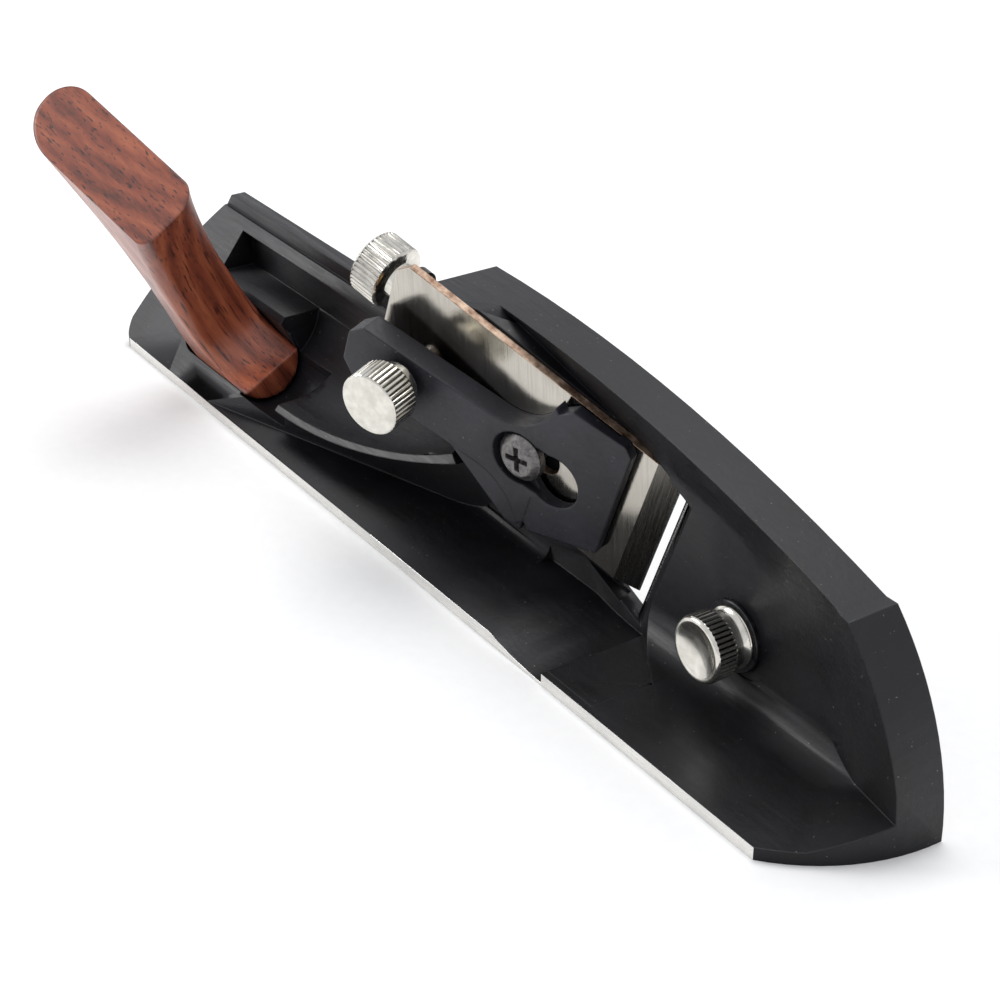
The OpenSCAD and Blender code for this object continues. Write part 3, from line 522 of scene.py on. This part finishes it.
# the thread is drawn as rings of its pitch, from the neck of the knob to the taper of the tip
STUD_TIP = -3.96
STUD_TOP = 4.6
TAPER = 0.8
crest = STUD_R - 0.02
root = STUD_R - THREAD_DEPTH
stud_profile = [(0, STUD_TIP), (0.6, STUD_TIP), (0.7, STUD_TIP + 0.1), (root, STUD_TIP + TAPER)]
turns = int((STUD_TOP - 0.2 - (STUD_TIP + TAPER)) / THREAD_PITCH)
for i in range(turns):
    foot = STUD_TIP + TAPER + i * THREAD_PITCH
    stud_profile += [(crest, foot + THREAD_PITCH * 0.4), (crest, foot + THREAD_PITCH * 0.6),
                     (root, foot + THREAD_PITCH)]
stud_profile += [(crest, STUD_TOP - 0.1), (crest, STUD_TOP), (0, STUD_TOP)]
thumb_stud = make_piece(turned(stud_profile, thumb_screw), "thumb_stud_threaded", "cap_knob",
                        "stud_steel", drawn_steel, crease=30)
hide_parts("lever_cap_stud")


# Depth adjuster
# A steel spindle turns in a blacked bushing pressed into the heel end of the bed. Its nickel knob
# is pinned by a grub screw, and inside the bed a brass nut with a steel pin carries the blade.
DEPTH_KNOB_ROUND = 0.05
adjuster_knob = make_piece(cad_copy("adjuster_knob"), "depth_knob_turned", "adjuster", "nickel",
                           nickel, crease=25)
round_edges(adjuster_knob, DEPTH_KNOB_ROUND, segments=1, angle=30)
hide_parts("adjuster_knob")

# turned brass: warm yellow, a little tarnished
brass, tree, where = new_material("turned brass")
haze = add(tree, "TexNoise", {"Vector": where, "Scale": 1 / (0.8 * MM), "Detail": 3})
cover(tree, Base_Color=two_tones(tree, haze.outputs["Fac"], 0.3, "#8a6a34", 0.7, "#c9a35a"),
      Metallic=1.0, Roughness=spread(tree, haze.outputs["Fac"], 0.3, 0.7, 0.25, 0.38))

finish_node("adjuster_grub_screw", blacked_steel)
finish_node("adjuster_spindle", drawn_steel)
finish_node("adjuster_bushing", blacked_steel)
finish_node("adjuster_ring", blacked_steel)
finish_node("adjuster_nut", brass)
finish_node("adjuster_pin", drawn_steel)


# Handle
# A leaning post of oiled rosewood, sawn and sanded by hand, with a sweep down its front and a foot
# let into the deck. Two countersunk screws through the riding wall hold it by brass inserts.
GRAIN_LEAN = math.radians(29.4)
DECK_SLOPE = math.radians(37.16)
DECK_EDGE = 1.4
DECK_TOP = 2 * HALF_WIDTH + DECK_EDGE * math.tan(DECK_SLOPE)
# a point in the heart of the tree, the width of a ring, and how far the rings wander
HEART = Vector((-52, 37, 30))
YEAR = 1.3
WAVER = 1.6

# oiled rosewood: red-brown with darker rings, fine dark pores and a low sheen from the oil
rosewood, tree, where = new_material("oiled rosewood")
# turned so that Z runs along the grain, with the heart of the tree far out beyond the sole
grain = add(tree, "Mapping", {
    "Vector": where, "Location": HEART * MM, "Rotation": (GRAIN_LEAN, 0, 0)},
    vector_type="TEXTURE")
waver = add(tree, "TexNoise", {"Vector": grain.outputs[0], "Scale": 1 / (7 * MM), "Detail": 2})
shift = add(tree, "VectorMath", {0: waver.outputs["Color"], 1: (WAVER * MM,) * 3},
            operation="MULTIPLY")
bent = add(tree, "VectorMath", {0: grain.outputs[0], 1: shift.outputs[0]}, operation="ADD")
flat = add(tree, "VectorMath", {0: bent.outputs[0], 1: (1, 1, 0.02)}, operation="MULTIPLY")
radius = add(tree, "VectorMath", {0: flat.outputs[0]}, operation="LENGTH")
year = add(tree, "Math", {0: radius.outputs["Value"], 1: YEAR * MM}, operation="DIVIDE")
part_of_year = add(tree, "Math", {0: year.outputs[0], 1: 1.0}, operation="PINGPONG")
streaks = add(tree, "Mapping", {"Vector": grain.outputs[0], "Scale": (1 / 5, 1, 1 / 14)})
fibre = add(tree, "TexNoise", {
    "Vector": streaks.outputs[0], "Scale": 1 / (0.55 * MM), "Detail": 5, "Roughness": 0.65})
broad = add(tree, "TexNoise", {
    "Vector": streaks.outputs[0], "Scale": 1 / (3 * MM), "Detail": 3, "Roughness": 0.6})
mixed = add(tree, "Math", {0: part_of_year.outputs[0], 1: 0.4}, operation="MULTIPLY")
mixed = add(tree, "Math", {0: mixed.outputs[0], 1: fibre.outputs["Fac"]}, operation="ADD")
mixed = add(tree, "Math", {0: mixed.outputs[0], 1: broad.outputs["Fac"]}, operation="ADD")
stain = add(tree, "ValToRGB", {"Fac": spread(tree, mixed.outputs[0], 0.55, 1.95, 0, 1)})
stain.color_ramp.elements[0].position = 0.15
stain.color_ramp.elements[0].color = linear("#a95f3f")
stain.color_ramp.elements[1].position = 0.85
stain.color_ramp.elements[1].color = linear("#34120b")
middle = stain.color_ramp.elements.new(0.5)
middle.color = linear("#83402b")
# pores 0.15 mm across and 2.5 mm long, short dashes on the sloping top
pore_place = add(tree, "Mapping", {"Vector": grain.outputs[0], "Scale": (1 / 4, 1, 1 / 16)})
pores = add(tree, "TexNoise", {
    "Vector": pore_place.outputs[0], "Scale": 1 / (0.28 * MM), "Detail": 1})
open_pore = spread(tree, pores.outputs["Fac"], 0.6, 0.7, 0, 0.85)
wood = add(tree, "MixRGB", {
    "Fac": open_pore, "Color1": stain.outputs["Color"], "Color2": linear("#2a0f0a")})
low = add(tree, "Math", {0: open_pore, 1: -1.0}, operation="MULTIPLY")
sanded = add(tree, "Bevel", {"Radius": 0.6 * MM}, samples=8)
touch = add(tree, "Bump", {"Height": low.outputs[0], "Strength": 0.35, "Distance": 0.05 * MM,
                           "Normal": sanded.outputs[0]})
cover(tree, Base_Color=wood.outputs[0],
      Roughness=spread(tree, fibre.outputs["Fac"], 0.3, 0.7, 0.32, 0.46), IOR=1.48,
      Coat_Weight=0.45, Coat_Roughness=0.3, Normal=touch.outputs[0])

# the post stands in the deck at GRIP_X and GRIP_Y of the casting
GRIP_X = 24
GRIP_Y = 8
SUNK = 0.85
grip = (on_side @ Matrix.Translation(
            (GRIP_X, GRIP_Y, DECK_TOP - GRIP_Y * math.tan(DECK_SLOPE) - SUNK))
        @ Matrix.Rotation(GRAIN_LEAN - math.pi / 2, 4, "X"))
# heights of the post's sections from the deck, and its back at some of them
LEVELS = (-5.19, -5.0, -4.5, -3.6, -2.6, -1.8, -1.78, -1.6, -1.2, -0.6, 0.3, 1.5, 3.0, 4.6,
          6, 8, 10, 12, 14, 16, 18, 20, 22, 24, 26, 28, 30, 32, 34, 36, 38, 40)
BACK = ((-6, -9.5), (2, -9.5), (8, -7.4), (14, -5.9), (20, -5.6), (25, -6.7), (30, -9.2),
        (33, -10.8), (36, -11.6), (43, -11.6))
HALF_THICK = 4.45
SET_OVER = 0.4
FOOT_FRONT = 7.6
FOOT_R = 4.6
FOOT_DEPTH = 5.2
INSTEP_R = 6.4
INSTEP_TOP = 4.6
SWEEP_R = 45
SWEEP_FROM = 0.8
SWEEP_LOW = 3.3
TOP_FRONT = 13.6
TOP_AT = 31.3
TOP_PITCH = math.radians(24)
TOP_ROLL = math.radians(11.6)
# the back is round; the front corners start sharp and grow rounder up the post, by side
TAIL_R = 4.3
SHARP = 0.35
GROWTH = {1: 3.3, -1: 1.8}
GROWN_OVER = 14


def back_at(height):
    """Where the back of the post is at a height, on straight lines between the points of BACK."""
    for (low_z, low_x), (high_z, high_x) in zip(BACK, BACK[1:]):
        if height <= high_z:
            return low_x + (high_x - low_x) * (height - low_z) / (high_z - low_z)


def front_at(height):
    """Where its front is: foot, hollow instep, then the long sweep up to the top."""
    if height <= INSTEP_TOP - INSTEP_R:
        return FOOT_FRONT
    if height < INSTEP_TOP:
        return FOOT_FRONT - math.sqrt(INSTEP_R ** 2 - (height - INSTEP_TOP) ** 2)
    sweep = SWEEP_R + SWEEP_FROM - math.sqrt(SWEEP_R ** 2 - (height + SWEEP_LOW) ** 2)
    return min(TOP_FRONT, sweep)


bm = bmesh.new()
STEPS = 64
last = None
for height in LEVELS:
    ring = bmesh.ops.create_circle(
        bm, segments=STEPS, radius=1, matrix=Matrix.Rotation(math.pi / STEPS, 4, "Z"))["verts"]
    half = HALF_THICK
    if height < FOOT_R - FOOT_DEPTH:
        half = min(HALF_THICK, math.sqrt(FOOT_R ** 2 - (height + FOOT_DEPTH - FOOT_R) ** 2))
    grown = min(1, max(0, (height + INSTEP_R - INSTEP_TOP) / GROWN_OVER))
    tail = min(half, TAIL_R)
    for vert in ring:
        side = math.copysign(1, vert.co.y)
        corner = min(half, SHARP + GROWTH[side] * grown)
        turn_r = corner if vert.co.x > 0 else tail
        end = front_at(height) - corner if vert.co.x > 0 else back_at(height) + tail
        across = side * (half - turn_r) + turn_r * vert.co.y
        vert.co = (end + turn_r * vert.co.x, across - SET_OVER, height)
    edges = [e for e in bm.edges if e.verts[0] in ring and e.verts[1] in ring]
    if last:
        bmesh.ops.bridge_loops(bm, edges=last + edges)
    else:
        bmesh.ops.contextual_create(bm, geom=edges)
    last = edges
top_turn = Matrix.Rotation(TOP_PITCH, 3, "Y") @ Matrix.Rotation(TOP_ROLL, 3, "X")
cut = bmesh.ops.bisect_plane(
    bm, geom=bm.verts[:] + bm.edges[:] + bm.faces[:], plane_co=(0, 0, TOP_AT),
    plane_no=top_turn @ Vector((0, 0, 1)), clear_outer=True)
rim = [part for part in cut["geom_cut"] if isinstance(part, bmesh.types.BMEdge)]
bmesh.ops.contextual_create(bm, geom=rim)
bmesh.ops.transform(bm, matrix=grip, verts=bm.verts)
bmesh.ops.remove_doubles(bm, verts=bm.verts, dist=0.0001 * MM)
bmesh.ops.recalc_face_normals(bm, faces=bm.faces)
handle = make_piece(bm, "handle_post", "body", "rosewood", rosewood, crease=50)
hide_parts("handle")

finish_node("handle_inserts", brass)
finish_node("handle_screws", drawn_steel)
